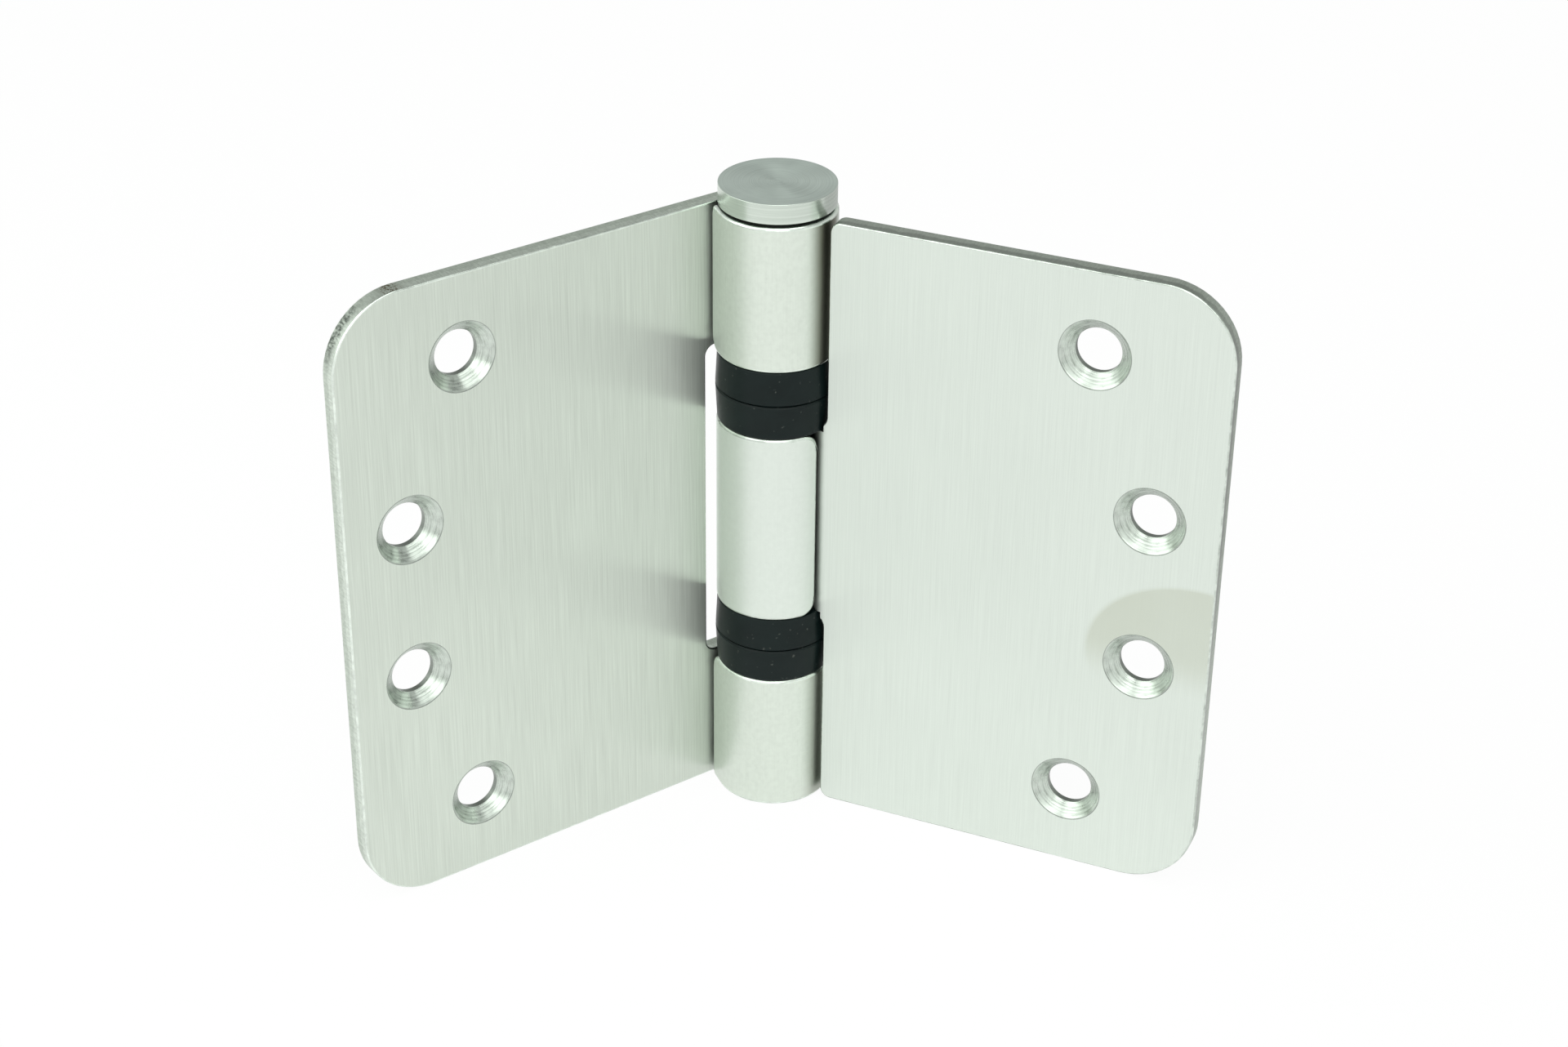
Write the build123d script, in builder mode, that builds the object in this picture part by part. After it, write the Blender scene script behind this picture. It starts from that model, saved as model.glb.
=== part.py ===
from build123d import *
import math
import os

os.makedirs("parts", exist_ok=True)

# The hinge stands on its lower edges, with the barrel's axis on Z.
# The fixed leaf lies along -X and faces -Y. The swing leaf stands part-folded towards -Y.

# Leaves
leaf_height = 89.0
leaf_reach = 63.0  # from the barrel's axis to the outer edge of each leaf
sheet = 2.5
leaf_corner = 10.0  # rounded outer corners
edge_break = 0.3  # burnished edges of the sheet
rest_fold = 60.0  # degrees that the swing leaf is folded forward from flat

# Barrel, rolled from the leaves
barrel_diameter = 16.0
end_knuckle = 20.7
bearing_gap = 9.8  # between neighbouring knuckles
seam_gap = 0.6  # between a rolled end and the sheet that it meets
roll_lead = 3.0  # at the end of an end knuckle's roll, which stays straight
roll_end_corner = 2.0  # of the rolled ends, beside the bearings
roll_outer_corner = 0.7  # of the rolled ends, at the top and bottom of the hinge

# Notches that let the leaves pass the barrel
fixed_notch_edge = 7.6  # from the axis, beside the middle knuckle
fixed_notch_corner = 1.5
swing_edge_clearance = 0.45  # beside the end knuckles
swing_notch_corner = 2.4
swing_inner_corner = 1.5

# Countersunk screw holes, four to a leaf in a shallow curve
hole_diameter = 6.2
sink_diameter = 9.6
sink_angle = 90.0
hole_pitch = 22.0
hole_margin = 9.5  # middle two holes, from the outer edge
hole_stagger = 8.8  # end two holes, further in

# Hinge pin
pin_diameter = 8.0
head_inset = 0.2  # radial, from the barrel
head_height = 2.75
seat_collar_diameter = 10.4  # lifts the head clear of the top knuckle
seat_collar_height = 0.45
head_chamfer = 0.15
pin_chamfer = 0.8

# Flanged bushes
flange_root_inset = 0.1  # radial, from the barrel, against the knuckle
flange_overhang = 0.15  # radial, past the barrel, where two flanges meet
flange_chamfer = 0.2
flange_running_gap = 0.12
shank_gap = 0.4  # between the two shanks in the middle knuckle
bush_fit = 0.02  # radial, in the knuckle
pin_running_fit = 0.05  # radial, on the pin
bearing_clearance = 0.25  # radial, from the leaves to the flanges

# Derived sizes
barrel_radius = barrel_diameter / 2
bore_radius = barrel_radius - sheet
pin_radius = pin_diameter / 2
middle_knuckle = leaf_height - 2 * (end_knuckle + bearing_gap)
middle_bottom = end_knuckle + bearing_gap
middle_top = middle_bottom + middle_knuckle
top_knuckle_bottom = leaf_height - end_knuckle
mid_height = leaf_height / 2
swing_edge = barrel_radius + swing_edge_clearance
head_radius = barrel_radius - head_inset
head_bottom = leaf_height + seat_collar_height
head_top = head_bottom + head_height
flange_height = (bearing_gap - flange_running_gap) / 2
flange_root_radius = barrel_radius - flange_root_inset
flange_split_radius = barrel_radius + flange_overhang
shank_radius = bore_radius - bush_fit
bush_bore_radius = pin_radius + pin_running_fit
middle_shank = (middle_knuckle - shank_gap) / 2

# The fixed leaf is tangent to the barrel's back, and its roll stops short of its own front face.
fixed_front = barrel_radius - sheet
lead_reach = math.hypot(barrel_radius, roll_lead)
lead_angle = math.degrees(math.atan2(roll_lead, barrel_radius))
fixed_roll = 270 + math.degrees(math.asin((fixed_front - seam_gap) / lead_reach)) - lead_angle

# The swing leaf's back face passes through the axis, so a reverse bend joggles its tab back to the barrel.
# The bend starts at the leaf's inner edge, and its middle line touches the middle line of the roll.
bend_middle = (swing_edge**2 - barrel_radius**2 + barrel_radius * sheet) / barrel_diameter
bend_inner = bend_middle - sheet / 2
bend_outer = bend_middle + sheet / 2
bend_centre = (swing_edge, bend_inner)
bend_distance = math.hypot(*bend_centre)
bend_angle = math.degrees(math.atan2(bend_inner, swing_edge))
roll_end_reach = bend_outer + seam_gap
roll_end_cosine = (barrel_radius**2 + bend_distance**2 - roll_end_reach**2) / (2 * barrel_radius * bend_distance)
swing_roll = 360 - math.degrees(math.acos(roll_end_cosine))

# Section planes look down the axis. Front planes lie on a leaf's front face, at mid height, with X outwards.
swing_section = Plane.XY.rotated((0, 0, -rest_fold))
swing_outwards = swing_section.x_dir
swing_facing = -swing_section.y_dir
fixed_plane = Plane(origin=(0, fixed_front, mid_height), x_dir=(-1, 0, 0), z_dir=(0, -1, 0))
swing_plane = Plane(
    origin=swing_facing * sheet + Vector(0, 0, mid_height), x_dir=swing_outwards, z_dir=swing_facing
)


def rolled_strip(centre, inner_radius, outer_radius, start_angle, sweep, lead=0):
    """Section of a sheet rolled about a centre, with a straight lead at its end, drawn in the open sketch."""
    with BuildLine() as outline:
        outer = CenterArc(centre, outer_radius, start_angle, sweep)
        inner = CenterArc(centre, inner_radius, start_angle, sweep)
        outer_end = outer @ 1 + lead * (outer % 1)
        inner_end = inner @ 1 + lead * (inner % 1)
        if lead:
            Line(outer @ 1, outer_end)
            Line(inner @ 1, inner_end)
        Line(outer @ 0, inner @ 0)
        Line(outer_end, inner_end)
    make_face(outline.edges())


def leaf_outline(inner_edge):
    """Outline of a leaf in the open sketch, with its outer corners rounded."""
    with Locations((inner_edge, 0)):
        Rectangle(leaf_reach - inner_edge, leaf_height, align=(Align.MIN, Align.CENTER))
    fillet(vertices().group_by(Axis.X)[-1], leaf_corner)


def screw_holes(front_plane):
    """Countersunk holes in the open part, sunk from a leaf's front face."""
    middle_row = leaf_reach - hole_margin
    end_row = middle_row - hole_stagger
    with Locations(front_plane):
        for side in (1, -1):
            with Locations((middle_row, side * hole_pitch / 2), (end_row, side * hole_pitch * 3 / 2)):
                CounterSinkHole(hole_diameter / 2, sink_diameter / 2, 2 * sheet, sink_angle)


def roll_end_edges(section_plane, end_angle):
    """Edges across the sheet at the open leaf's rolled ends, lowest first: they lie along one direction."""
    across_sheet = Axis((0, 0, 0), section_plane.rotated((0, 0, end_angle)).x_dir)
    return edges().filter_by(across_sheet).sort_by(Axis.Z)


def burnish_edges(facing):
    """Break the outlines of the open leaf's back and front, which run on round the ends of its knuckles."""
    for side in (0, 1):
        broad_faces = faces().sort_by(SortBy.AREA)[-2:]
        face = broad_faces.sort_by(Axis((0, 0, 0), facing))[side]
        outer_edge = face.outer_wire().edges().filter_by(Axis.Z).sort_by(SortBy.LENGTH)[-1]
        chamfer(outer_edge, edge_break)


def bush_section(knuckle_end, direction, shank_length):
    """Half section of a flanged bush in the open sketch: its flange stands on a knuckle's end."""
    split_end = knuckle_end + direction * flange_height
    shank_end = knuckle_end - direction * shank_length
    with BuildLine() as outline:
        Polyline(
            (bush_bore_radius, shank_end),
            (shank_radius, shank_end),
            (shank_radius, knuckle_end),
            (flange_root_radius, knuckle_end),
            (flange_split_radius, split_end),
            (bush_bore_radius, split_end),
            close=True,
        )
    make_face(outline.edges())
    chamfer(vertices().sort_by(Axis.X)[-1], flange_chamfer)


# Fixed leaf: a flat sheet with two end knuckles rolled forward from it
with BuildPart() as fixed_leaf:
    with BuildSketch(fixed_plane):
        leaf_outline(0)
        with Locations((fixed_notch_edge, 0)):
            Rectangle(
                2 * fixed_notch_edge,
                leaf_height - 2 * end_knuckle,
                align=(Align.MAX, Align.CENTER),
                mode=Mode.SUBTRACT,
            )
        notch_corners = vertices().group_by(Axis.X)[1]
        fillet(notch_corners, fixed_notch_corner)
    extrude(amount=-sheet)
    for knuckle_bottom in (0, top_knuckle_bottom):
        with BuildSketch(Plane.XY.offset(knuckle_bottom)):
            rolled_strip((0, 0), bore_radius, barrel_radius, 90, -fixed_roll, roll_lead)
        extrude(amount=end_knuckle)
    fillet(roll_end_edges(Plane.XY, 90 - fixed_roll)[1:-1], roll_end_corner)
    fillet(roll_end_edges(Plane.XY, 90 - fixed_roll), roll_outer_corner)
    burnish_edges(fixed_plane.z_dir)
    screw_holes(fixed_plane)

fixed_leaf.part.label = "fixed_leaf"
export_step(fixed_leaf.part, "parts/fixed_leaf.step")

# Swing leaf: a flat sheet with a joggled tab that rolls into the middle knuckle
with BuildPart() as swing_leaf:
    with BuildSketch(swing_plane):
        leaf_outline(swing_edge)
        fillet(vertices().group_by(Axis.X)[0], swing_inner_corner)
    extrude(amount=-sheet)
    # The reverse bend, with a web above and below that the notch corners then shape
    with BuildSketch(swing_section.offset(middle_bottom - swing_notch_corner)):
        rolled_strip(bend_centre, bend_inner, bend_outer, 270, bend_angle - 90)
    extrude(amount=middle_knuckle + 2 * swing_notch_corner)
    with BuildSketch(swing_plane):
        with Locations((swing_edge, mid_height), (swing_edge, -mid_height)):
            Rectangle(barrel_diameter, leaf_height - middle_knuckle, align=(Align.MAX, Align.CENTER))
        notch_corners = vertices().group_by(Axis.X)[-1].sort_by(Axis.Y)[1:3]
        fillet(notch_corners, swing_notch_corner)
    extrude(amount=barrel_diameter, both=True, mode=Mode.SUBTRACT)
    with BuildSketch(swing_section.offset(middle_bottom)):
        rolled_strip((0, 0), bore_radius, barrel_radius, bend_angle, swing_roll)
    extrude(amount=middle_knuckle)
    fillet(roll_end_edges(swing_section, bend_angle + swing_roll), roll_end_corner)
    burnish_edges(swing_facing)
    # Room for the flanges beside the webs
    with Locations((0, 0, end_knuckle), (0, 0, middle_top)):
        Cylinder(
            flange_split_radius + bearing_clearance,
            bearing_gap,
            align=(Align.CENTER, Align.CENTER, Align.MIN),
            mode=Mode.SUBTRACT,
        )
    screw_holes(swing_plane)

swing_leaf.part.label = "swing_leaf"
export_step(swing_leaf.part, "parts/swing_leaf.step")

# Hinge pin: turned in one with its flat head, and drawn out upwards
with BuildPart() as hinge_pin:
    with BuildSketch(Plane.XZ):
        with BuildLine():
            Polyline(
                (0, 0),
                (pin_radius, 0),
                (pin_radius, leaf_height),
                (seat_collar_diameter / 2, leaf_height),
                (seat_collar_diameter / 2, head_bottom),
                (head_radius, head_bottom),
                (head_radius, head_top),
                (0, head_top),
                close=True,
            )
        make_face()
    revolve(axis=Axis.Z)
    end_rims = edges().filter_by(GeomType.CIRCLE).sort_by(Axis.Z)
    chamfer(end_rims[0], pin_chamfer)
    chamfer(edges().filter_by(GeomType.CIRCLE).sort_by(Axis.Z)[-1], head_chamfer)

hinge_pin.part.label = "hinge_pin"
export_step(hinge_pin.part, "parts/hinge_pin.step")

# Flanged bushes: the knuckle end that each flange stands on, its direction from there, and the shank's length
bushes = {
    "top_bush": (top_knuckle_bottom, -1, end_knuckle),
    "upper_middle_bush": (middle_top, 1, middle_shank),
    "lower_middle_bush": (middle_bottom, -1, middle_shank),
    "bottom_bush": (end_knuckle, 1, end_knuckle),
}
for bush_name, (knuckle_end, direction, shank_length) in bushes.items():
    with BuildPart() as bush:
        with BuildSketch(Plane.XZ):
            bush_section(knuckle_end, direction, shank_length)
        revolve(axis=Axis.Z)
    bush.part.label = bush_name
    export_step(bush.part, f"parts/{bush_name}.step")
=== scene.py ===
"""Looks of a loose-pin bearing hinge: brushed leaves rolled into a barrel, a turned pin and black bushes."""

import math

import bmesh
import bpy
from mathutils import Matrix, Vector


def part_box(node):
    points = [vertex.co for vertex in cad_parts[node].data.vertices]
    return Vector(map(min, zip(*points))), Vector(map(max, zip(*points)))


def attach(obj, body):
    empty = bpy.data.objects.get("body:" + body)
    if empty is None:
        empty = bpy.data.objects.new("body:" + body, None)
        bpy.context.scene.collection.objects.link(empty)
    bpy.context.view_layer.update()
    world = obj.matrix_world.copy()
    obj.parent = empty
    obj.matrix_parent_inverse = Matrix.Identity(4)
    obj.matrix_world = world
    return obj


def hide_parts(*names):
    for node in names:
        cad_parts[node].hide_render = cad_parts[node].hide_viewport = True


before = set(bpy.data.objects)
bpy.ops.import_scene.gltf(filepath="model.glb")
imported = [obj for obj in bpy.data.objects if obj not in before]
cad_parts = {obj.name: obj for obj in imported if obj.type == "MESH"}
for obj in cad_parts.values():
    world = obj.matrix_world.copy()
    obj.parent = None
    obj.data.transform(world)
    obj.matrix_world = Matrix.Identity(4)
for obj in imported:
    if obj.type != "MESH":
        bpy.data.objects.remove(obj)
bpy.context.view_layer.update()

MM = 0.001

# Leaves, measured on the frame
leaf_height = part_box("fixed_leaf")[1].z
leaf_reach = -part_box("fixed_leaf")[0].x
barrel_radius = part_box("fixed_leaf")[1].y
sheet = 2.5 * MM
bore_radius = barrel_radius - sheet
roll_middle = barrel_radius - sheet / 2
leaf_corner = 10.0 * MM
rest_fold = math.radians(60)

# Knuckles and the bearings between them
end_knuckle = 20.7 * MM
bearing_gap = 9.8 * MM
seam_gap = 0.6 * MM
roll_lead = 3.0 * MM
middle_bottom = end_knuckle + bearing_gap
middle_top = leaf_height - middle_bottom
roll_end_corner = 2.0 * MM
roll_outer_corner = 0.7 * MM

# Notches beside the barrel
fixed_notch_edge = 7.6 * MM
fixed_notch_corner = 1.5 * MM
swing_edge = barrel_radius + 0.45 * MM
swing_notch_corner = 2.4 * MM
swing_inner_corner = 1.5 * MM
flange_clearance = 0.25 * MM

# Rims of the sheet, rounder where the tabs were rolled
rim_round = 0.45 * MM
rim_segments = 3
plate_rim_share = 0.48
tab_end_rim_share = 0.7
rim_ramp = 6.0 * MM
corner_segments = 14

# Countersunk screw holes
hole_radius = 3.1 * MM
sink_radius = 4.8 * MM
sink_flare = 0.10 * MM
sink_flare_slope = 3
hole_pitch = 22.0 * MM
hole_margin = 9.5 * MM
hole_stagger = 8.8 * MM
tool_rings = 9
tool_ring_height = 0.010 * MM

# Pin and bushes
pin_radius = 4.0 * MM
pin_chamfer = 0.8 * MM
collar_radius = 5.2 * MM
head_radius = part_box("hinge_pin")[1].x
head_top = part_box("hinge_pin")[1].z
head_bottom = leaf_height + 0.45 * MM
head_round = 0.07 * MM
bush_bore = 4.05 * MM
shank_radius = bore_radius - 0.02 * MM
flange_root = barrel_radius - 0.1 * MM
flange_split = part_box("top_bush")[1].x
flange_round = 0.2 * MM
flange_running_gap = 0.12 * MM
flange_height = (bearing_gap - flange_running_gap) / 2
shank_gap = 0.4 * MM

# Meshing
turned_steps = 144
roll_step = math.radians(4.5)
sharp_angle = math.radians(40)
flat_limit = 0.9  # a face lies flat if its normal reaches this far along the axis
whole_way = 0.9  # points that a tool made carry a shorter way than this
weld = 0.0005 * MM
least_score = 0.004 * MM
tab_end_reach = 0.05 * MM
chip_points = 100  # a loose chip has fewer points

# Marks and painted shade on the sheet, on its own map: outwards from the barrel, up, and up the cone of a countersink
map_scale = 10  # map units to a metre
map_mm = map_scale * MM
# painted shade on the end knuckles, in the band that faces the swing leaf
knuckle_shade_band = [mm * map_mm for mm in (-22.2, -19.9, -17.8, -16.0)]
knuckle_shade_heights = [mm * map_mm for mm in (20, 70)]
# painted shade in the crevice at the front of the joggle
crevice_shade_band = [mm * map_mm for mm in (6.6, 8.3)]
film_foot = [mm * map_mm for mm in (30, 37)]
# painted shade down a countersink's wall and round its rim
sink_wall_shade = [mm * map_mm for mm in (1.36, 1.46)]
sink_rim_shade = [mm * map_mm for mm in (4.68, 4.78)]

# Spots on a leaf and their reach, in millimetres outwards and up
film_spot, film_reach = (61, 35), (15.6, 12.4)
scuff_spot, scuff_reach = (61.5, 85.5), (6.5, 7)
smear_spot, smear_reach = (53.8, 89), (2.2, 2.0)

# Relief of the brushed sheet
hair_plate = 0.0012 * MM
hair_knuckle = 0.0003 * MM
peel_height = 0.009 * MM

# Floor and light: the camera's right and its way in, and how white the floor is
view_right = (0.80, -0.598, 0)
view_away = (0.598, 0.80, 0)
floor_radius = 8
floor_white = 0.95
floor_mirror = 0.61
floor_dim = 0.58
floor_dim_ramp = 0.05
light_colour = (0.965, 1.0, 0.965)

BRUSHED, RIM, SHEARED, SUNK = range(4)
FACED, POLISHED = range(2)


def link_piece(name, bm, finishes):
    """Turn a bmesh into a linked object with its finishes in slots."""
    mesh = bpy.data.meshes.new(name)
    bm.to_mesh(mesh)
    bm.free()
    for finish in finishes:
        mesh.materials.append(finish)
    piece = bpy.data.objects.new(name, mesh)
    bpy.context.scene.collection.objects.link(piece)
    return piece


def settle(piece):
    """Apply a piece's modifiers for good."""
    bpy.context.view_layer.update()
    finished = bpy.data.meshes.new_from_object(piece.evaluated_get(bpy.context.evaluated_depsgraph_get()))
    piece.modifiers.clear()
    before = piece.data
    piece.data = finished
    bpy.data.meshes.remove(before)


def shade(piece):
    """Smooth shading that keeps broad faces flat and corners sharp."""
    mesh = piece.data
    mesh.shade_smooth()
    mesh.set_sharp_from_angle(angle=sharp_angle)
    weighting = piece.modifiers.new("weighted_normals", "WEIGHTED_NORMAL")
    weighting.keep_sharp = True
    settle(piece)


def true_to_roll(piece):
    """Turn the shading of the sheet's faces to the true roll, which facets of unequal width would ripple."""
    mesh = piece.data
    ways = mesh.attributes["sheet_way"].data
    depths = mesh.attributes["sheet_depth"].data
    true = {}
    for face in mesh.polygons:
        if face.material_index == BRUSHED:
            for vertex in face.vertices:
                way = Vector(ways[vertex].vector)
                if way.length > whole_way:
                    true[vertex] = way.normalized() * (1 if depths[vertex].value > 0.5 else -1)
    normals = [Vector(corner.vector) for corner in mesh.corner_normals]
    for face in mesh.polygons:
        if face.material_index in (BRUSHED, RIM):
            for corner in face.loop_indices:
                normals[corner] = true.get(mesh.loops[corner].vertex_index, normals[corner])
    mesh.normals_split_custom_set(normals)


def turned(profile):
    """A bmesh turned about Z from a closed profile of (radius, height) corners."""
    bm = bmesh.new()
    corners = [bm.verts.new((radius, 0, height)) for radius, height in profile]
    chain = [bm.edges.new(pair) for pair in zip(corners, corners[1:])]
    if profile[0][0] > 0:
        chain.append(bm.edges.new((corners[-1], corners[0])))
    bmesh.ops.spin(
        bm, geom=corners + chain, cent=(0, 0, 0), axis=(0, 0, 1), angle=math.tau, steps=turned_steps, use_merge=True
    )
    bmesh.ops.remove_doubles(bm, verts=bm.verts, dist=weld)
    bmesh.ops.recalc_face_normals(bm, faces=bm.faces)
    return bm


def round_rim(bm, radius, height, offset, segments=3):
    """Round the circular edge of a turned bmesh at that radius and height."""
    reach = 0.01 * MM
    on_rim = {v for v in bm.verts if abs(v.co.xy.length - radius) < reach and abs(v.co.z - height) < reach}
    edges = [e for e in bm.edges if on_rim.issuperset(e.verts)]
    bmesh.ops.bevel(
        bm, geom=edges, offset=offset, segments=segments, profile=0.5, affect="EDGES", clamp_overlap=True, material=-1
    )


def map_turned(bm, fall=-1):
    """Lay a turned bmesh's own map: across the tool marks, and along them."""
    layer = bm.loops.layers.uv.new("grain")
    for face in bm.faces:
        centre = face.calc_center_median()
        facing = math.atan2(centre.y, centre.x)
        for loop in face.loops:
            co = loop.vert.co
            radius = co.xy.length
            turn = math.atan2(co.y, co.x) - facing
            turn = (turn + math.pi) % math.tau - math.pi if radius > weld else 0.0
            loop[layer].uv = ((radius + fall * co.z) * map_scale, (facing + turn) * barrel_radius * map_scale)


def cross_cut(bm, along):
    """Cut a blank's faces across at one place, from its foot to its head."""
    geom = bm.verts[:] + bm.edges[:] + bm.faces[:]
    bmesh.ops.bisect_plane(bm, geom=geom, dist=weld, plane_co=(along, 0, 0), plane_no=(1, 0, 0))


def score(bm, start, end, count):
    """Cut the tab of a blank across, so that it can bend between two places."""
    for i in range(count + 1):
        cross_cut(bm, start + (end - start) * i / count)


def score_end(piece):
    """Cut a tab across at each point of its rounded end, so that the end bends without folds."""
    bm = bmesh.new()
    bm.from_mesh(piece.data)
    tab_end = min(v.co.x for v in bm.verts)
    done = tab_end
    for along in sorted(v.co.x for v in bm.verts if v.co.x < tab_end + roll_end_corner + 2 * rim_round):
        if along > done + least_score:
            cross_cut(bm, along)
            done = along
    bm.to_mesh(piece.data)
    bm.free()


def rim_share(along, tab_start, tab_end):
    """How round the rim is there: thin on the plate, full on the tab, and less round its end."""
    inwards = tab_start - along
    if along < tab_end + tab_end_reach:
        return tab_end_rim_share
    return plate_rim_share + (1 - plate_rim_share) * min(max(inwards / rim_ramp, 0), 1)


def blank(name, outline, scores, tab_start, finishes):
    """A flat sheet from ((outwards, height), corner radius) pairs, with its front at depth 0 and its rims rounded."""
    bm = bmesh.new()
    corners = [bm.verts.new((along, 0, height)) for (along, height), _ in outline]
    bm.faces.new(corners)
    for vertex, (_, radius) in zip(corners, outline):
        bmesh.ops.bevel(
            bm, geom=[vertex], offset=radius, segments=corner_segments, profile=0.5, affect="VERTICES", material=-1
        )
    front = bm.faces[:]
    grown = bmesh.ops.extrude_face_region(bm, geom=front, use_keep_orig=True)
    bmesh.ops.translate(bm, verts=[v for v in grown["geom"] if isinstance(v, bmesh.types.BMVert)], vec=(0, sheet, 0))
    bmesh.ops.recalc_face_normals(bm, faces=bm.faces)
    for face in bm.faces:
        face.material_index = BRUSHED if abs(face.normal.y) > flat_limit else SHEARED
    for start, end, count in scores:
        score(bm, start, end, count)
    weight = bm.edges.layers.float.new("bevel_weight_edge")
    tab_end = min(v.co.x for v in bm.verts)
    for edge in bm.edges:
        if {f.material_index for f in edge.link_faces} == {BRUSHED, SHEARED}:
            edge[weight] = rim_share((edge.verts[0].co.x + edge.verts[1].co.x) / 2, tab_start, tab_end)
    piece = link_piece(name, bm, finishes)
    rims = piece.modifiers.new("rims", "BEVEL")
    rims.limit_method = "WEIGHT"
    rims.width = rim_round
    rims.segments = rim_segments
    rims.profile = 0.5
    rims.material = RIM
    rims.use_clamp_overlap = False
    settle(piece)
    score_end(piece)
    return piece


def bend(piece, tab_start, place):
    """Lay a flat blank's own map, across the grain and along it, then take each of its points to its place."""
    bm = bmesh.new()
    bm.from_mesh(piece.data)
    layer = bm.loops.layers.uv.new("grain")
    depth = bm.verts.layers.float.new("sheet_depth")
    rolled = bm.verts.layers.float.new("rolled")
    way = bm.verts.layers.float_vector.new("sheet_way")
    step = 0.1 * MM
    for vertex in bm.verts:
        along, inside, height = vertex.co
        vertex[way] = (place(along, inside + step, height) - place(along, inside, height)) / step
        vertex[depth] = vertex.co.y / sheet
        vertex[rolled] = min(max((tab_start - vertex.co.x) / rim_ramp, 0), 1)
    for face in bm.faces:
        for loop in face.loops:
            loop[layer].uv = (loop.vert.co.x * map_scale, loop.vert.co.z * map_scale)
    for vertex in bm.verts:
        vertex.co = place(*vertex.co)
    if bm.calc_volume(signed=True) < 0:
        bmesh.ops.reverse_faces(bm, faces=bm.faces)
    bm.to_mesh(piece.data)
    bm.free()


def screw_cutters(bm, to_front):
    """Add the tools that sink a leaf's four holes: to_front takes the tool's axis to the leaf's front."""
    middle_row = leaf_reach - hole_margin
    end_row = middle_row - hole_stagger
    above = 0.4 * MM
    through = sheet + 1 * MM
    cone = sink_radius - hole_radius
    rings = [(sink_radius + sink_flare + above * sink_flare_slope, above)]
    for i in range(tool_rings + 1):
        share = i / tool_rings
        lift = tool_ring_height * (1 if i % 2 else -1) if 0 < i < tool_rings else 0
        depth = sink_flare / 2 + share * (cone - sink_flare / 2)
        rings.append((sink_radius - depth + lift, -depth))
    profile = [(0, above), *rings, (hole_radius, -through), (0, -through)]
    for row, height in ((end_row, -1.5), (middle_row, -0.5), (middle_row, 0.5), (end_row, 1.5)):
        tool = turned(profile)
        map_turned(tool, 1)
        for face in tool.faces:
            face.material_index = SUNK
        spot = to_front @ Matrix.Translation((row, 0, leaf_height / 2 + height * hole_pitch))
        bmesh.ops.transform(tool, matrix=spot @ Matrix.Rotation(math.pi / 2, 4, "X"), verts=tool.verts)
        scrap = bpy.data.meshes.new("tool")
        tool.to_mesh(scrap)
        tool.free()
        bm.from_mesh(scrap)
        bpy.data.meshes.remove(scrap)


def clearance_cutter(bm):
    """Add the rings of room that the swing leaf leaves round the flanges."""
    short = 0.01 * MM
    for bottom in (end_knuckle - short, middle_top + short):
        made = bmesh.ops.create_cone(
            bm, cap_ends=True, segments=turned_steps, depth=bearing_gap,
            radius1=flange_split + flange_clearance, radius2=flange_split + flange_clearance,
            matrix=Matrix.Translation((0, 0, bottom + bearing_gap / 2)),
        )
        for face in {f for v in made["verts"] for f in v.link_faces}:
            face.material_index = SHEARED


def drop_chips(piece):
    """Take away the chips that a tool left loose."""
    bm = bmesh.new()
    bm.from_mesh(piece.data)
    left = set(bm.verts)
    while left:
        shell = [left.pop()]
        for vertex in shell:
            joined = {v for e in vertex.link_edges for v in e.verts} & left
            left -= joined
            shell += joined
        if len(shell) < chip_points:
            bmesh.ops.delete(bm, geom=shell, context="VERTS")
    bm.to_mesh(piece.data)
    bm.free()


def cut(piece, cutter_bm, finishes):
    """Cut a piece with a bmesh of tools, for good."""
    bmesh.ops.recalc_face_normals(cutter_bm, faces=cutter_bm.faces)
    cutter = link_piece("cutter", cutter_bm, finishes)
    modifier = piece.modifiers.new("cut", "BOOLEAN")
    modifier.operation = "DIFFERENCE"
    modifier.solver = "MANIFOLD"
    modifier.material_mode = "INDEX"
    modifier.object = cutter
    settle(piece)
    bpy.data.objects.remove(cutter)
    drop_chips(piece)


def polar(radius, angle, height):
    return Vector((radius * math.cos(angle), radius * math.sin(angle), height))


def make_fixed_leaf(finishes):
    """The fixed leaf: a blank with two tabs, rolled forward into the end knuckles with a short straight lead."""
    front = bore_radius
    lead_reach = math.hypot(barrel_radius, roll_lead)
    roll = math.radians(270) + math.asin((front - seam_gap) / lead_reach) - math.atan2(roll_lead, barrel_radius)
    arc = roll * roll_middle
    tab = arc + roll_lead
    roll_end = math.pi / 2 - roll
    lead_way = Vector((math.sin(roll_end), -math.cos(roll_end), 0))
    outline = [
        ((-tab, 0), roll_outer_corner),
        ((leaf_reach, 0), leaf_corner),
        ((leaf_reach, leaf_height), leaf_corner),
        ((-tab, leaf_height), roll_outer_corner),
        ((-tab, leaf_height - end_knuckle), roll_end_corner),
        ((fixed_notch_edge, leaf_height - end_knuckle), fixed_notch_corner),
        ((fixed_notch_edge, end_knuckle), fixed_notch_corner),
        ((-tab, end_knuckle), roll_end_corner),
    ]
    piece = blank("fixed_leaf_steel", outline, [(0, -arc, round(roll / roll_step))], 0, finishes)

    def place(along, depth, height):
        if along >= 0:
            return Vector((-along, front + depth, height))
        if along >= -arc:
            return polar(bore_radius + depth, math.pi / 2 + along / roll_middle, height)
        return polar(bore_radius + depth, roll_end, height) + lead_way * (-arc - along)

    bend(piece, 0, place)
    tools = bmesh.new()
    mirrored = Matrix.Rotation(math.pi, 4, "Z") @ Matrix.Scale(-1, 4, (0, 1, 0))
    screw_cutters(tools, Matrix.Translation((0, front, 0)) @ mirrored)
    cut(piece, tools, finishes)
    shade(piece)
    true_to_roll(piece)
    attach(piece, "fixed")
    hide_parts("fixed_leaf")


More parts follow.
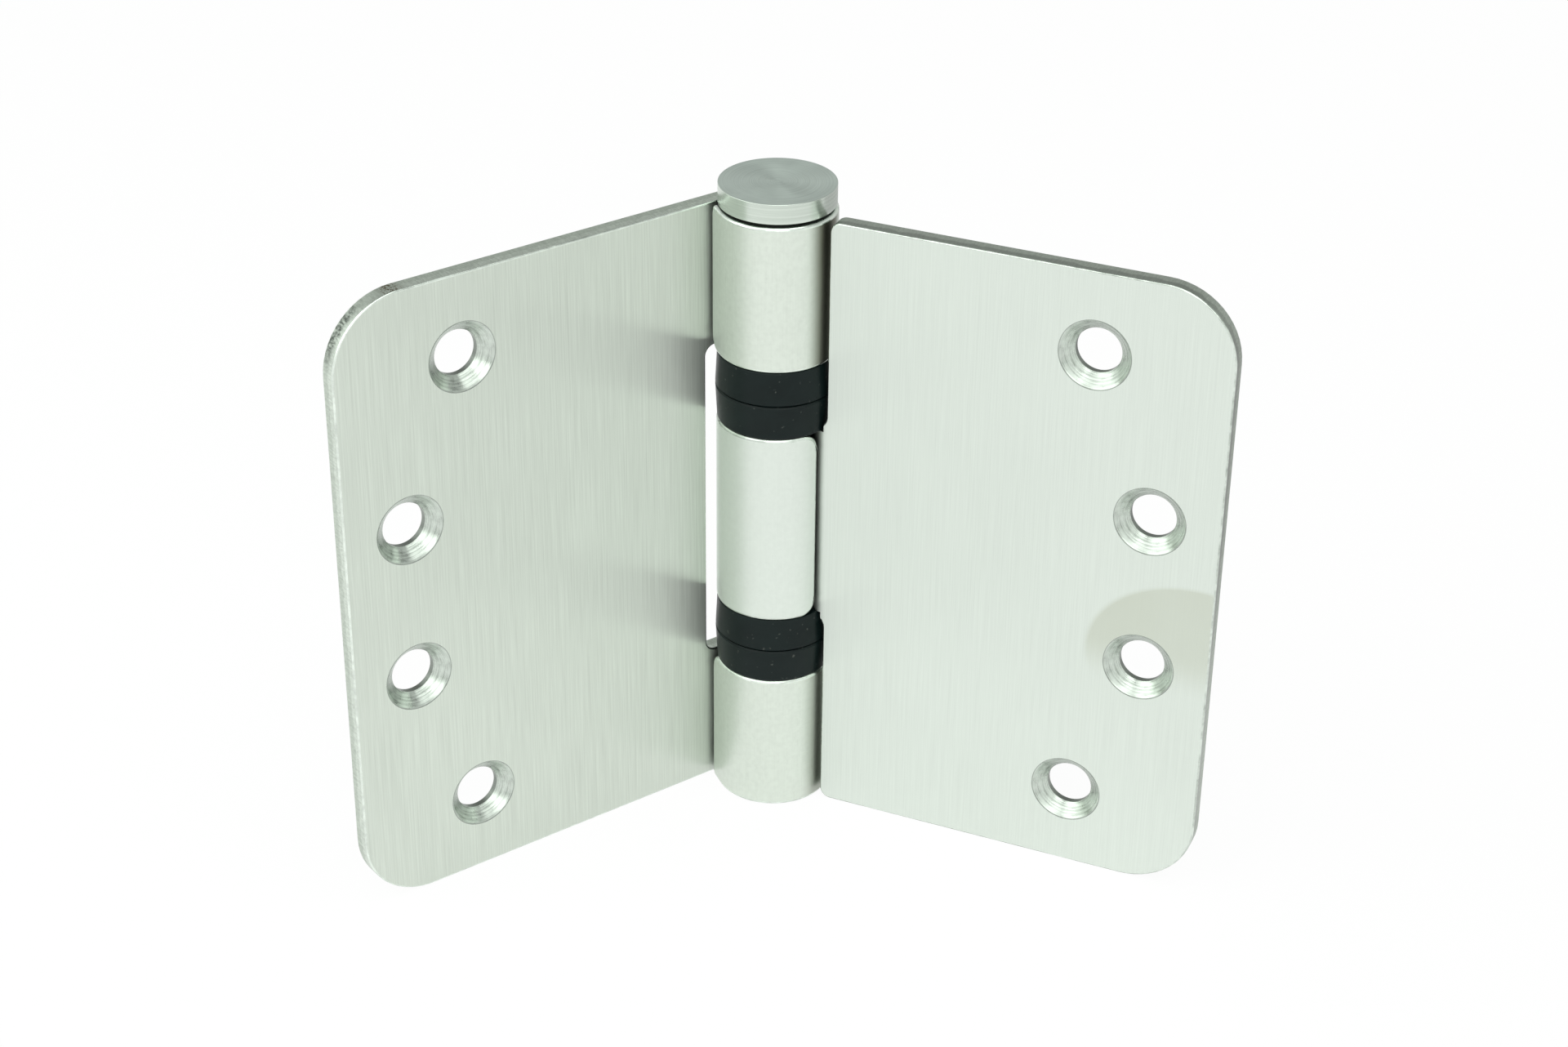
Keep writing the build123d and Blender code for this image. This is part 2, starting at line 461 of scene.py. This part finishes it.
def make_swing_leaf(finishes):
    """The swing leaf: a blank with one tab, joggled back and rolled into the middle knuckle."""
    bend_middle = (swing_edge**2 - barrel_radius**2 + 2 * barrel_radius * sheet / 2) / (2 * barrel_radius)
    bend_inner = bend_middle - sheet / 2
    bend_outer = bend_middle + sheet / 2
    bend_angle = math.atan2(bend_inner, swing_edge)
    bend_distance = math.hypot(swing_edge, bend_inner)
    joggle = bend_middle * (math.pi / 2 - bend_angle)
    end_reach = bend_outer + seam_gap
    short_of_bend = math.acos(
        (barrel_radius**2 + bend_distance**2 - end_reach**2) / (2 * barrel_radius * bend_distance)
    )
    roll = math.tau - short_of_bend
    tab = joggle + roll * roll_middle
    outline = [
        ((swing_edge, 0), swing_inner_corner),
        ((leaf_reach, 0), leaf_corner),
        ((leaf_reach, leaf_height), leaf_corner),
        ((swing_edge, leaf_height), swing_inner_corner),
        ((swing_edge, middle_top), swing_notch_corner),
        ((swing_edge - tab, middle_top), roll_end_corner),
        ((swing_edge - tab, middle_bottom), roll_end_corner),
        ((swing_edge, middle_bottom), swing_notch_corner),
    ]
    scored = roll - (roll_end_corner + rim_round) / roll_middle
    scores = [
        (swing_edge, swing_edge - joggle, round((math.pi / 2 - bend_angle) / roll_step)),
        (swing_edge - joggle, swing_edge - joggle - scored * roll_middle, round(scored / roll_step)),
    ]
    piece = blank("swing_leaf_steel", outline, scores, swing_edge, finishes)
    to_rest = Matrix.Rotation(-rest_fold, 4, "Z")

    def place(along, depth, height):
        inwards = swing_edge - along
        if inwards <= 0:
            return to_rest @ Vector((along, depth - sheet, height))
        if inwards <= joggle:
            round_bend = polar(bend_outer - depth, math.radians(270) - inwards / bend_middle, height)
            return to_rest @ (Vector((swing_edge, bend_inner, 0)) + round_bend)
        return to_rest @ polar(bore_radius + depth, bend_angle + (inwards - joggle) / roll_middle, height)

    bend(piece, swing_edge, place)
    tools = bmesh.new()
    screw_cutters(tools, to_rest @ Matrix.Translation((0, -sheet, 0)))
    clearance_cutter(tools)
    cut(piece, tools, finishes)
    shade(piece)
    true_to_roll(piece)
    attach(piece, "swing")
    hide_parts("swing_leaf")


def make_pin(finishes):
    """The pin, turned in one with its flat head and the collar that it seats on."""
    bm = turned([
        (0, 0),
        (pin_radius - pin_chamfer, 0),
        (pin_radius, pin_chamfer),
        (pin_radius, leaf_height),
        (collar_radius, leaf_height),
        (collar_radius, head_bottom),
        (head_radius, head_bottom),
        (head_radius, head_top),
        (0, head_top),
    ])
    round_rim(bm, head_radius, head_top, head_round)
    round_rim(bm, head_radius, head_bottom, head_round)
    map_turned(bm)
    for face in bm.faces:
        face.material_index = FACED if abs(face.normal.z) > flat_limit else POLISHED
    piece = link_piece("hinge_pin_turned", bm, finishes)
    shade(piece)
    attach(piece, "pin")
    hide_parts("hinge_pin")


def make_bush(node, body, knuckle_end, direction, shank, finish):
    """A flanged bush: its flange widens from the knuckle to the split between two flanges."""
    split = knuckle_end + direction * flange_height
    bm = turned([
        (bush_bore, knuckle_end - direction * shank),
        (shank_radius, knuckle_end - direction * shank),
        (shank_radius, knuckle_end),
        (flange_root, knuckle_end),
        (flange_split, split - direction * flange_round),
        (flange_split - flange_round, split),
        (bush_bore, split),
    ])
    round_rim(bm, flange_root, knuckle_end, flange_round)
    map_turned(bm)
    piece = link_piece(node + "_moulded", bm, [finish])
    shade(piece)
    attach(piece, body)
    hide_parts(node)


def plug(tree, socket, value):
    """Give a socket a link or a plain value."""
    if isinstance(value, bpy.types.NodeSocket):
        tree.links.new(value, socket)
    else:
        socket.default_value = value


def add(tree, kind, settings=None, **sockets):
    """Add a node, with its settings and the values or links of its sockets by name."""
    made = tree.nodes.new(kind)
    for name, value in (settings or {}).items():
        setattr(made, name, value)
    for name, value in sockets.items():
        plug(tree, made.inputs[name.replace("_", " ")], value)
    return made


def reckon(tree, operation, first, second=0.0, clamp=False):
    """One step of arithmetic on two values."""
    made = add(tree, "ShaderNodeMath", {"operation": operation, "use_clamp": clamp})
    plug(tree, made.inputs[0], first)
    plug(tree, made.inputs[1], second)
    return made.outputs[0]


def product(tree, value, *factors):
    """A value multiplied by each factor."""
    for factor in factors:
        value = reckon(tree, "MULTIPLY", value, factor)
    return value


def weighed(tree, *parts):
    """The sum of (value, weight) pairs."""
    total = 0.0
    for value, weight in parts:
        total = reckon(tree, "ADD", total, reckon(tree, "MULTIPLY", value, weight))
    return total


def reach_along(tree, vector, way):
    """How far a vector reaches along a way."""
    made = add(tree, "ShaderNodeVectorMath", {"operation": "DOT_PRODUCT"})
    plug(tree, made.inputs[0], vector)
    plug(tree, made.inputs[1], way)
    return made.outputs["Value"]


def spread(tree, value, low, high, to_low=0.0, to_high=1.0, smooth=False):
    """Stretch a value's range to another, held at its ends."""
    way = "SMOOTHSTEP" if smooth else "LINEAR"
    made = add(tree, "ShaderNodeMapRange", {"interpolation_type": way}, Value=value)
    for socket, number in zip(list(made.inputs)[1:5], (low, high, to_low, to_high)):
        plug(tree, socket, number)
    return made.outputs[0]


def mix_colours(tree, share, first, second):
    """A colour between two others."""
    made = add(tree, "ShaderNodeMix", {"data_type": "RGBA"})
    plug(tree, made.inputs[0], share)
    plug(tree, made.inputs[6], first)
    plug(tree, made.inputs[7], second)
    return made.outputs[2]


def grit(tree, vector, stretch, detail=2.0, roughness=0.5):
    """Noise on a vector stretched each way."""
    mapped = add(tree, "ShaderNodeMapping", Vector=vector, Scale=stretch)
    made = add(
        tree, "ShaderNodeTexNoise", Vector=mapped.outputs[0], Scale=1.0, Detail=detail, Roughness=roughness
    )
    return made.outputs[0]


def grain_map(tree):
    return add(tree, "ShaderNodeUVMap", {"uv_map": "grain"}).outputs[0]


def object_place(tree):
    return add(tree, "ShaderNodeTexCoord").outputs["Object"]


def carried(tree, name):
    """A number that the mesh carries at each point."""
    return add(tree, "ShaderNodeAttribute", {"attribute_name": name}).outputs["Fac"]


def map_ways(tree, grain):
    """A map's two ways: across the grain, which is outwards on a leaf, and along it, which is up."""
    parted = add(tree, "ShaderNodeSeparateXYZ", Vector=grain)
    return parted.outputs["X"], parted.outputs["Y"]


def near(tree, grain, spot, reach):
    """1 at a spot on a leaf's map, in millimetres outwards and up, falling to 0 at its reach."""
    mapped = add(tree, "ShaderNodeMapping", Vector=grain)
    mapped.inputs["Location"].default_value = (-spot[0] / reach[0], -spot[1] / reach[1], 0)
    mapped.inputs["Scale"].default_value = (1 / map_mm / reach[0], 1 / map_mm / reach[1], 0)
    length = add(tree, "ShaderNodeVectorMath", {"operation": "LENGTH"}, Vector=mapped.outputs[0])
    return spread(tree, length.outputs["Value"], 1.0, 0.0, smooth=True)


def new_finish(name, metallic=1.0):
    """A material with only its output and a shader in it."""
    material = bpy.data.materials.new(name)
    material.use_nodes = True
    tree = material.node_tree
    shader = tree.nodes["Principled BSDF"]
    shader.inputs["Metallic"].default_value = metallic
    return material, tree, shader


def wire(tree, shader, colour, roughness, height, strength, distance):
    """Give a shader its colour, its roughness and a relief of that strength and depth."""
    tree.links.new(colour, shader.inputs["Base Color"])
    tree.links.new(roughness, shader.inputs["Roughness"])
    relief = add(tree, "ShaderNodeBump", Strength=strength, Distance=distance, Height=height)
    tree.links.new(relief.outputs[0], shader.inputs["Normal"])


def brush_across(tree, shader, share):
    """Spread a brushed shader's gloss across its grain."""
    shader.inputs["Anisotropic"].default_value = share
    tangent = add(tree, "ShaderNodeTangent", {"direction_type": "UV_MAP", "uv_map": "grain"})
    tree.links.new(tangent.outputs[0], shader.inputs["Tangent"])


def shade_knuckles(tree, grain, clouds, colour):
    """Paint a shade on the band of the end knuckles that faces the swing leaf, most on the upper one: a painted dark
    reflection of the leaf beside it.
    """
    outwards, up = map_ways(tree, grain)
    band = product(
        tree,
        spread(tree, outwards, knuckle_shade_band[0], knuckle_shade_band[1], smooth=True),
        spread(tree, outwards, knuckle_shade_band[3], knuckle_shade_band[2], smooth=True),
        spread(tree, clouds, 0.3, 0.6, 0.85, 1.0),
        spread(tree, up, knuckle_shade_heights[0], knuckle_shade_heights[1], 0.5, 1.0),
    )
    # painted shade: a dark reflection painted on the knuckles
    return mix_colours(tree, band, colour, (0.20, 0.205, 0.16, 1))


def shade_and_stain_leaf(tree, grain, clouds, colour):
    """Paint a shade in the crevice at the front of the joggle, and lay a faint film on the front by the third hole.
    """
    outwards, up = map_ways(tree, grain)
    in_front = spread(tree, carried(tree, "sheet_depth"), 0.6, 0.4)
    # painted shade: the crevice by the joggle, darkened on the front
    crevice_shade = product(tree, spread(tree, outwards, crevice_shade_band[1], crevice_shade_band[0], 0.0, 0.9), in_front)
    colour = mix_colours(tree, crevice_shade, colour, (0.06, 0.065, 0.055, 1))
    facing = add(tree, "ShaderNodeTexCoord").outputs["Normal"]
    front_way = (-math.sin(rest_fold), -math.cos(rest_fold), 0)
    film = product(
        tree,
        spread(tree, near(tree, grain, film_spot, film_reach), 0.0, 0.012),
        spread(tree, up, film_foot[0], film_foot[1], smooth=True),
        spread(tree, clouds, 0.2, 0.7, 0.6, 0.9),
        spread(tree, reach_along(tree, facing, front_way), 0.0, 0.5),
    )
    return mix_colours(tree, film, colour, (0.63, 0.67, 0.575, 1))


def brushed_steel(name, dull, bright, knuckle_tone, shade_and_marks):
    """Satin sheet steel, brushed lengthwise, with a fine peel where it was rolled and a leaf's own painted shade and
    marks.
    """
    material, tree, shader = new_finish(name)
    grain = grain_map(tree)
    here = object_place(tree)
    rolled = carried(tree, "rolled")
    hairs = grit(tree, grain, (470, 7, 1), 3, 0.6)
    streaks = grit(tree, grain, (110, 3, 1), 2)
    clouds = grit(tree, here, (55, 55, 38), 3)
    peel = grit(tree, here, (1500, 1500, 1300), 2)
    tone = weighed(tree, (hairs, 0.72), (streaks, 0.10), (clouds, 0.18))
    calm_tone = spread(tree, peel, 0.2, 0.8, knuckle_tone - 0.12, knuckle_tone + 0.12)
    calm_share = spread(tree, rolled, 0.0, 1.0, 0.0, 0.75)
    tone = reckon(tree, "ADD", tone, product(tree, reckon(tree, "SUBTRACT", calm_tone, tone), calm_share))
    colour = shade_and_marks(tree, grain, clouds, mix_colours(tree, spread(tree, tone, 0.30, 0.70), dull, bright))
    worn = product(tree, spread(tree, hairs, 0.2, 0.8, -0.03, 0.03), spread(tree, rolled, 0.0, 1.0, 1.0, 0.25))
    gloss = reckon(tree, "ADD", spread(tree, rolled, 0.0, 1.0, 0.335, 0.28), worn)
    hair_height = product(tree, hairs, spread(tree, rolled, 0.0, 1.0, hair_plate, hair_knuckle))
    height = reckon(tree, "ADD", hair_height, product(tree, peel, rolled, peel_height))
    wire(tree, shader, colour, gloss, height, 1.0, 1.0)
    brush_across(tree, shader, 0.96)
    return material


def rim_steel(name, dull, bright):
    """The broken bright line along the sheet's rims, partly burnished wear and partly a painted highlight."""
    material, tree, shader = new_finish(name)
    here = object_place(tree)
    nicks = grit(tree, here, (900, 900, 900), 2)
    wear = grit(tree, here, (160, 160, 160), 3)
    tone = weighed(tree, (nicks, 0.5), (wear, 0.5))
    colour = mix_colours(tree, spread(tree, tone, 0.34, 0.6), dull, bright)
    wire(tree, shader, colour, spread(tree, wear, 0.3, 0.7, 0.16, 0.32), nicks, 0.5, 0.02 * MM)
    return material


def sheared_steel(name, burnished, torn, scuffed):
    """A sheared edge: a burnished band by the front, a torn zone behind it, fine marks through the sheet, and painted
    shade on the edges of the rolled tabs.
    """
    material, tree, shader = new_finish(name)
    grain = grain_map(tree)
    depth = carried(tree, "sheet_depth")
    outwards, up = map_ways(tree, grain)
    through = add(
        tree, "ShaderNodeCombineXYZ", X=outwards, Y=up, Z=reckon(tree, "MULTIPLY", depth, sheet * map_scale)
    ).outputs[0]
    marks = grit(tree, through, (520, 520, 70), 3, 0.6)
    specks = grit(tree, through, (420, 420, 420), 2)
    waves = grit(tree, through, (60, 60, 20), 2)
    border = reckon(tree, "ADD", depth, spread(tree, waves, 0.2, 0.8, -0.16, 0.16))
    tear = spread(tree, border, 0.40, 0.52, smooth=True)
    tone = weighed(tree, (marks, 0.6), (specks, 0.4))
    light = mix_colours(tree, tear, burnished, torn)
    dark = mix_colours(tree, 0.35, light, (0.16, 0.18, 0.16, 1))
    colour = mix_colours(tree, spread(tree, tone, 0.36, 0.6), dark, light)
    if scuffed:
        corner = product(tree, near(tree, grain, scuff_spot, scuff_reach), spread(tree, depth, 0.15, 0.6))
        blotch = grit(tree, through, (240, 240, 130), 4, 0.65)
        scuff = product(tree, spread(tree, corner, 0.05, 0.6), spread(tree, blotch, 0.34, 0.62))
        colour = mix_colours(tree, scuff, colour, (0.09, 0.105, 0.09, 1))
        smear = product(tree, near(tree, grain, smear_spot, smear_reach), spread(tree, specks, 0.44, 0.58))
        colour = mix_colours(tree, smear, colour, (0.12, 0.085, 0.04, 1))
    # painted shade on the sheared edges of the rolled tabs, which sit in the barrel's gaps
    tab_edge_shade = spread(tree, carried(tree, "rolled"), 0.4, 1.0, 0.0, 0.8)
    colour = mix_colours(tree, tab_edge_shade, colour, (0.05, 0.055, 0.05, 1))
    wire(tree, shader, colour, spread(tree, tear, 0.0, 1.0, 0.30, 0.46), tone, 0.6, 0.03 * MM)
    return material


def sunk_steel():
    """Countersinks with the tool's rings and a little chatter, their steel a painted shade darker than the face, with
    painted shade down the wall and round the rim.
    """
    material, tree, shader = new_finish("sunk_steel")
    grain = grain_map(tree)
    rings = grit(tree, grain, (300, 8, 1), 3, 0.65)
    chatter = grit(tree, grain, (90, 45, 1), 2)
    tone = weighed(tree, (rings, 0.7), (chatter, 0.3))
    colour = mix_colours(tree, spread(tree, tone, 0.34, 0.62), (0.33, 0.365, 0.33, 1), (0.74, 0.80, 0.74, 1))
    up_cone, _ = map_ways(tree, grain)
    # painted shade down the hole's wall and a painted dark line round the rim
    wall = spread(tree, up_cone, sink_wall_shade[1], sink_wall_shade[0])
    colour = mix_colours(tree, wall, colour, (0.26, 0.285, 0.26, 1))
    line = spread(tree, up_cone, sink_rim_shade[0], sink_rim_shade[1], 0.0, 0.6)
    colour = mix_colours(tree, line, colour, (0.22, 0.245, 0.22, 1))
    wire(tree, shader, colour, spread(tree, chatter, 0.3, 0.7, 0.24, 0.36), tone, 1.0, 0.02 * MM)
    brush_across(tree, shader, 0.6)
    return material


def faced_steel():
    """The head's top, faced on a lathe."""
    material, tree, shader = new_finish("faced_steel")
    rings = grit(tree, grain_map(tree), (700, 5, 1), 3, 0.6)
    clouds = grit(tree, object_place(tree), (220, 220, 220), 2)
    tone = weighed(tree, (rings, 0.65), (clouds, 0.35))
    colour = mix_colours(tree, spread(tree, tone, 0.3, 0.7), (0.565, 0.64, 0.60, 1), (0.77, 0.86, 0.81, 1))
    wire(tree, shader, colour, spread(tree, clouds, 0.3, 0.7, 0.32, 0.38), rings, 0.5, 0.006 * MM)
    brush_across(tree, shader, 0.75)
    return material


def polished_steel():
    """The head's side and the pin, ground and polished."""
    material, tree, shader = new_finish("polished_steel")
    rings = grit(tree, grain_map(tree), (500, 4, 1), 2)
    smudge = grit(tree, object_place(tree), (300, 300, 300), 3)
    colour = mix_colours(tree, spread(tree, rings, 0.3, 0.7), (0.56, 0.62, 0.56, 1), (0.68, 0.74, 0.68, 1))
    wire(tree, shader, colour, spread(tree, smudge, 0.3, 0.7, 0.20, 0.28), rings, 0.3, 0.003 * MM)
    return material


def black_polymer():
    """Moulded black bearing polymer with a soft bloom and a few pale specks."""
    material, tree, shader = new_finish("black_polymer", metallic=0.0)
    here = object_place(tree)
    bloom = grit(tree, here, (130, 130, 190), 4, 0.6)
    specks = grit(tree, here, (1500, 1500, 1500), 1)
    black, bloomed = (0.0028, 0.0072, 0.0072, 1), (0.0052, 0.0115, 0.0112, 1)
    colour = mix_colours(tree, spread(tree, bloom, 0.34, 0.68), black, bloomed)
    colour = mix_colours(tree, spread(tree, specks, 0.70, 0.78), colour, (0.05, 0.055, 0.05, 1))
    wire(tree, shader, colour, spread(tree, bloom, 0.3, 0.7, 0.30, 0.42), bloom, 0.25, 0.02 * MM)
    shader.inputs["Specular IOR Level"].default_value = 0.18
    return material


def seen_straight(tree, path):
    """1 for what the camera sees, itself or through a clear piece."""
    return reckon(tree, "MAXIMUM", path.outputs["Is Camera Ray"], path.outputs["Is Transmission Ray"])


def make_floor():
    """A plain pale floor with a faint shadow, white to the camera and dimmer in reflections to the back right."""
    bm = bmesh.new()
    bmesh.ops.create_circle(bm, cap_ends=True, segments=64, radius=floor_radius)
    material, tree, shader = new_finish("pale_floor", metallic=0.0)
    tree.nodes.remove(shader)
    path = add(tree, "ShaderNodeLightPath")
    mirrored = path.outputs["Is Glossy Ray"]
    place = add(tree, "ShaderNodeNewGeometry").outputs["Position"]
    dim = product(
        tree,
        spread(tree, reach_along(tree, place, view_away), 0.0, floor_dim_ramp, smooth=True),
        spread(tree, reach_along(tree, place, view_right), 0.0, floor_dim_ramp, smooth=True),
    )
    mirrored_share = spread(tree, dim, 0.0, 1.0, floor_mirror, floor_white)
    share = weighed(tree, (seen_straight(tree, path), floor_white), (mirrored, mirrored_share))
    glow = spread(tree, product(tree, dim, mirrored), 0.0, 1.0, 1.0, floor_dim)
    matt = add(tree, "ShaderNodeBsdfDiffuse", Color=(0.94, 0.94, 0.94, 1))
    white = add(tree, "ShaderNodeEmission", Color=(1, 1, 1, 1), Strength=glow)
    both = add(tree, "ShaderNodeMixShader")
    for socket, output in zip(both.inputs, (share, matt.outputs[0], white.outputs[0])):
        tree.links.new(output, socket)
    tree.links.new(both.outputs[0], tree.nodes["Material Output"].inputs["Surface"])
    link_piece("floor", bm, [material])


def light_studio():
    """A white surround that greys overhead and to the right, and soft lamps on the left, in front and above."""
    world = bpy.data.worlds.new("studio")
    bpy.context.scene.world = world
    world.use_nodes = True
    tree = world.node_tree
    path = add(tree, "ShaderNodeLightPath")
    direction = add(tree, "ShaderNodeTexCoord").outputs["Generated"]
    height = add(tree, "ShaderNodeSeparateXYZ", Vector=direction).outputs["Z"]
    aside = reach_along(tree, direction, view_right)
    inwards = reach_along(tree, direction, view_away)
    overhead = spread(tree, height, 0.1, 0.95, 0.62, 0.30, smooth=True)
    sides = product(tree, aside, aside, spread(tree, aside, -0.1, 0.1, 0.50, 0.15))
    front = reckon(tree, "MAXIMUM", product(tree, inwards, -0.5), 0.0)
    level = reckon(tree, "ADD", reckon(tree, "ADD", overhead, sides), front, clamp=True)
    surround = mix_colours(tree, level, (0, 0, 0, 1), (*light_colour, 1))
    background = tree.nodes["Background"]
    shown = mix_colours(tree, seen_straight(tree, path), surround, (1, 1, 1, 1))
    tree.links.new(shown, background.inputs["Color"])
    background.inputs["Strength"].default_value = 1.0
    middle = Vector((0, 0, leaf_height / 2))
    for name, place, size, power in (
        ("left_lamp", (-0.42, 0.10, 0.40), 0.55, 1.35),
        ("front_lamp", (-0.47, -0.63, 0.52), 0.60, 1.5),
        ("top_lamp", (0.0, -0.25, 0.95), 0.70, 2.5),
    ):
        lamp = bpy.data.lights.new(name, "AREA")
        lamp.shape = "SQUARE"
        lamp.size = size
        lamp.energy = power
        lamp.color = light_colour
        holder = bpy.data.objects.new(name, lamp)
        holder.location = place
        holder.rotation_euler = (middle - Vector(place)).to_track_quat("-Z", "Y").to_euler()
        bpy.context.scene.collection.objects.link(holder)


def aim_camera():
    """The photograph's view: its direction, distance, slight roll and lens."""
    azimuth = math.radians(-36.717)
    elevation = math.radians(29.621)
    roll = math.radians(0.62)
    distance = 410.055 * MM
    target = Vector((1.019, -0.760, 41.377)) * MM
    back = Vector((
        math.sin(azimuth) * math.cos(elevation), -math.cos(azimuth) * math.cos(elevation), math.sin(elevation)
    ))
    right = Vector((math.cos(azimuth), math.sin(azimuth), 0))
    up = back.cross(right)
    turn = Matrix((right, up, back)).transposed() @ Matrix.Rotation(roll, 3, "Z")
    camera = bpy.data.cameras.new("camera")
    camera.sensor_width = 36
    camera.lens = 68.50
    camera.clip_start = 0.01
    holder = bpy.data.objects.new("camera", camera)
    holder.matrix_world = Matrix.Translation(target + back * distance) @ turn.to_4x4()
    bpy.context.scene.collection.objects.link(holder)
    bpy.context.scene.camera = holder


# The swing leaf's steel is painted lighter than the fixed leaf's: a painted difference in the light on the two
# leaves.
fixed_face = brushed_steel(
    "fixed_brushed_steel", dull=(0.61, 0.66, 0.595, 1), bright=(0.765, 0.825, 0.75, 1), knuckle_tone=0.70,
    # the fixed leaf's marks: painted shade on its end knuckles
    shade_and_marks=shade_knuckles,
)
swing_face = brushed_steel(
    "swing_brushed_steel", dull=(0.74, 0.795, 0.74, 1), bright=(0.825, 0.885, 0.825, 1), knuckle_tone=0.40,
    # the swing leaf's marks: painted shade by the joggle and a faint film
    shade_and_marks=shade_and_stain_leaf,
)
# the swing leaf's rims are painted dimmer than the fixed leaf's: a painted difference in their highlight
fixed_rim = rim_steel("fixed_rim_steel", dull=(0.60, 0.655, 0.60, 1), bright=(0.86, 0.93, 0.86, 1))
swing_rim = rim_steel("swing_rim_steel", dull=(0.42, 0.46, 0.42, 1), bright=(0.74, 0.80, 0.74, 1))
fixed_edges = sheared_steel(
    "fixed_edge_steel", burnished=(0.70, 0.77, 0.69, 1), torn=(0.60, 0.66, 0.59, 1), scuffed=True
)
# the swing leaf's edges are painted darker than the fixed leaf's, even in their burnished band: painted shade
swing_edges_shaded = sheared_steel(
    "swing_edge_steel", burnished=(0.34, 0.375, 0.335, 1), torn=(0.49, 0.535, 0.48, 1), scuffed=False
)
sunk = sunk_steel()
make_fixed_leaf([fixed_face, fixed_rim, fixed_edges, sunk])
make_swing_leaf([swing_face, swing_rim, swing_edges_shaded, sunk])
make_pin([faced_steel(), polished_steel()])
polymer = black_polymer()
middle_shank = (middle_top - middle_bottom - shank_gap) / 2
make_bush("top_bush", "fixed", leaf_height - end_knuckle, -1, end_knuckle, polymer)
make_bush("upper_middle_bush", "swing", middle_top, 1, middle_shank, polymer)
make_bush("lower_middle_bush", "swing", middle_bottom, -1, middle_shank, polymer)
make_bush("bottom_bush", "fixed", end_knuckle, 1, end_knuckle, polymer)

make_floor()
light_studio()
aim_camera()
bpy.context.scene.view_settings.view_transform = "Standard"
